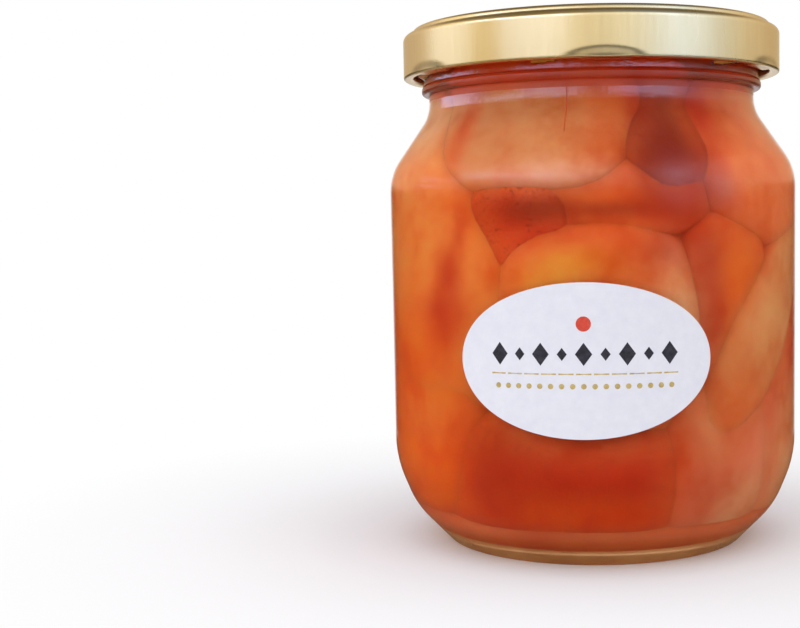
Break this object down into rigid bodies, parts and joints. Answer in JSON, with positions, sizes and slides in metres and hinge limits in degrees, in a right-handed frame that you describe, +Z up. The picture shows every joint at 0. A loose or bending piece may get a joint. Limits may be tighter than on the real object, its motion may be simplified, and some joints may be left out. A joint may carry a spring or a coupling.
{
  "type": "jar of nectarine compote",
  "caption": "Filled twist-off glass jar of nectarine pieces in syrup, with a gold metal lid and an oval paper label on the front.",
  "frame": {"origin": "middle of the ring that the jar stands on", "axes": "+Z up the jar's axis; the label faces -Y; +X is to the right of someone who looks at the label"},
  "size_m": [0.0912, 0.0914, 0.1143],
  "materials": {
    "glass": "clear, smooth",
    "compote": "wet fruit in clear amber-red syrup",
    "lid_metal": "satin gold lacquer",
    "label_paper": "smooth white paper"
  },
  "bodies": {
    "root": {"glass_jar": "glass", "compote": "compote", "lid": "lid_metal", "label": "label_paper"}
  },
  "joints": []
}
